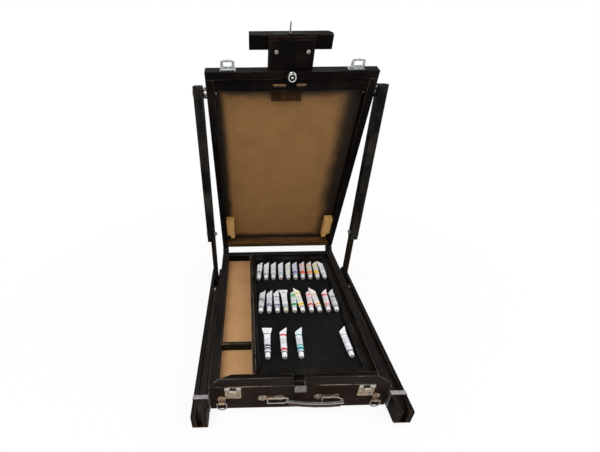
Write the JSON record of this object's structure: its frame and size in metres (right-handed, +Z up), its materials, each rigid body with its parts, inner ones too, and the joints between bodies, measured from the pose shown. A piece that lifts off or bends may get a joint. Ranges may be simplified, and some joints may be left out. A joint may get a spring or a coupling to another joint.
{
  "type": "box easel",
  "caption": "Wooden box easel with a raised lid on sliding stays, a mast in the lid, folded legs, and a paint box with a brush well and a lift-out tray of paint tubes.",
  "frame": {"origin": "bottom centre of the whole easel with its lid up and its legs folded, on the plane it rests on", "axes": "+Z up, +Y from the handle side towards the lid's hinges, +X to the right as seen from the handle side"},
  "size_m": [0.4506, 0.6274, 0.6936],
  "materials": {
    "lacquered_wood": "dark stained and varnished, worn at the edges",
    "brown_wood": "dark brown varnish",
    "worn_wood": "brown, varnish worn thin",
    "pale_wood": "unvarnished",
    "hardboard": "smooth warm brown",
    "well_board": "smooth light brown",
    "black_board": "painted black",
    "nickel": "nickel plated",
    "plated_brass": "dull brass plate",
    "grey_steel": "zinc plated",
    "grip_plastic": "dark brown moulded",
    "tube_metal": "printed soft metal tubes, each row in several colours",
    "cap_plastic": "white"
  },
  "bodies": {
    "box": {"front_wall": "brown_wood", "rear_wall": "lacquered_wood", "left_wall": "lacquered_wood", "right_wall": "lacquered_wood", "bottom_panel": "hardboard", "inner_battens": "lacquered_wood", "long_partition": "lacquered_wood", "well_floor": "well_board", "well_divider": "lacquered_wood", "corner_plates": "plated_brass", "hinge_pins": "nickel", "keep_plate": "grey_steel", "keeper_plates": "plated_brass", "keeper_hooks": "nickel", "ring_plates": "plated_brass", "handle_plates": "nickel", "leg_bolts": "grey_steel", "rear_leg_brackets": "lacquered_wood"},
    "insert": {"insert_frame": "lacquered_wood", "insert_board": "black_board", "tubes_back_row": "tube_metal", "tubes_middle_row": "tube_metal", "tubes_front_row": "tube_metal", "tube_caps": "cap_plastic"},
    "handle": {"handle_grip": "grip_plastic", "handle_fittings": "nickel"},
    "ring_left": {"strap_ring_left": "nickel"},
    "ring_right": {"strap_ring_right": "nickel"},
    "lid": {"lid_stile_left": "lacquered_wood", "lid_stile_right": "lacquered_wood", "lid_top_rail": "lacquered_wood", "lid_bottom_rail": "worn_wood", "lid_panel": "hardboard", "lid_blocks": "pale_wood", "mast_guide": "lacquered_wood", "latch_plates": "nickel", "stay_bolts": "nickel"},
    "wing_nut_left": {"wing_nut_left": "nickel"},
    "wing_nut_right": {"wing_nut_right": "nickel"},
    "mast": {"mast_board": "brown_wood", "mast_plate": "lacquered_wood", "mast_crosspiece": "lacquered_wood", "mast_screws": "nickel", "canvas_spike": "nickel"},
    "knob": {"mast_knob": "nickel"},
    "hasp_left": {"hasp_left": "nickel"},
    "hasp_right": {"hasp_right": "nickel"},
    "stay_left": {"stay_outer_left": "lacquered_wood", "stay_clamp_left": "nickel"},
    "stay_right": {"stay_outer_right": "lacquered_wood", "stay_clamp_right": "nickel"},
    "stay_slat_left": {"stay_slat_left": "lacquered_wood"},
    "stay_slat_right": {"stay_slat_right": "lacquered_wood"},
    "leg_left": {"leg_channel_left": "lacquered_wood", "leg_band_left": "grey_steel"},
    "leg_right": {"leg_channel_right": "lacquered_wood", "leg_band_right": "grey_steel"},
    "leg_slat_left": {"leg_slat_left": "worn_wood"},
    "leg_slat_right": {"leg_slat_right": "worn_wood"},
    "rear_leg": {"rear_leg": "lacquered_wood"}
  },
  "joints": [
    {"name": "lid_tilt", "type": "hinge", "parent": "box", "child": "lid", "pos_m": [0, 0.29134, 0.074], "axis": [1, 0, 0], "range_deg": [0, 73.5]},
    {"name": "mast_slide", "type": "slide", "parent": "lid", "child": "mast", "axis": [0, 0.283, -0.9591], "range_m": [-0.04, 0.028]},
    {"name": "mast_knob_turn", "type": "hinge", "parent": "lid", "child": "knob", "pos_m": [0, 0.13681, 0.59768], "axis": [0, -0.9591, -0.283], "continuous": true},
    {"name": "hasp_left_fold", "type": "hinge", "parent": "lid", "child": "hasp_left", "pos_m": [-0.1395, 0.13593, 0.61128], "axis": [1, 0, 0], "range_deg": [0, 90]},
    {"name": "wing_nut_left_turn", "type": "hinge", "parent": "lid", "child": "wing_nut_left", "pos_m": [-0.195, 0.16057, 0.56663], "axis": [-1, 0, 0], "continuous": true},
    {"name": "stay_left_turn", "type": "hinge", "parent": "lid", "child": "stay_left", "pos_m": [-0.211, 0.16057, 0.56663], "axis": [1, 0, 0], "range_deg": [0, 16.5]},
    {"name": "stay_left_slide", "type": "slide", "parent": "stay_left", "child": "stay_slat_left", "axis": [0, 0, 1], "range_m": [0, 0.136]},
    {"name": "leg_left_swing", "type": "hinge", "parent": "box", "child": "leg_left", "pos_m": [-0.206, 0.16057, 0.024], "axis": [-1, 0, 0], "range_deg": [-65, 0]},
    {"name": "leg_left_extend", "type": "slide", "parent": "leg_left", "child": "leg_slat_left", "axis": [0, 1, 0], "range_m": [-0.29, 0]},
    {"name": "strap_ring_left_swing", "type": "hinge", "parent": "box", "child": "ring_left", "pos_m": [-0.1645, -0.26966, 0.024], "axis": [-1, 0, 0], "range_deg": [0, 150]},
    {"name": "hasp_right_fold", "type": "hinge", "parent": "lid", "child": "hasp_right", "pos_m": [0.1395, 0.13593, 0.61128], "axis": [1, 0, 0], "range_deg": [0, 90]},
    {"name": "wing_nut_right_turn", "type": "hinge", "parent": "lid", "child": "wing_nut_right", "pos_m": [0.195, 0.16057, 0.56663], "axis": [1, 0, 0], "continuous": true},
    {"name": "stay_right_turn", "type": "hinge", "parent": "lid", "child": "stay_right", "pos_m": [0.211, 0.16057, 0.56663], "axis": [1, 0, 0], "range_deg": [0, 16.5]},
    {"name": "stay_right_slide", "type": "slide", "parent": "stay_right", "child": "stay_slat_right", "axis": [0, 0, 1], "range_m": [0, 0.136]},
    {"name": "leg_right_swing", "type": "hinge", "parent": "box", "child": "leg_right", "pos_m": [0.206, 0.16057, 0.024], "axis": [-1, 0, 0], "range_deg": [-65, 0]},
    {"name": "leg_right_extend", "type": "slide", "parent": "leg_right", "child": "leg_slat_right", "axis": [0, 1, 0], "range_m": [-0.29, 0]},
    {"name": "strap_ring_right_swing", "type": "hinge", "parent": "box", "child": "ring_right", "pos_m": [0.1645, -0.26966, 0.024], "axis": [-1, 0, 0], "range_deg": [0, 150]},
    {"name": "rear_leg_swing", "type": "hinge", "parent": "box", "child": "rear_leg", "pos_m": [0, 0.23534, 0.014], "axis": [-1, 0, 0], "range_deg": [-105, 0]},
    {"name": "handle_swing", "type": "hinge", "parent": "box", "child": "handle", "pos_m": [0, -0.26916, 0.0395], "axis": [-1, 0, 0], "range_deg": [0, 100]},
    {"name": "insert_lift", "type": "slide", "parent": "box", "child": "insert", "axis": [0, 0, -1], "range_m": [-0.06, 0]}
  ],
  "couplings": [
    {"joint": "stay_left_turn", "follows": "lid_tilt", "ratio": 0.2235},
    {"joint": "stay_left_slide", "follows": "lid_tilt", "m_per_rad": 0.1051},
    {"joint": "stay_right_turn", "follows": "lid_tilt", "ratio": 0.2235},
    {"joint": "stay_right_slide", "follows": "lid_tilt", "m_per_rad": 0.1051}
  ]
}
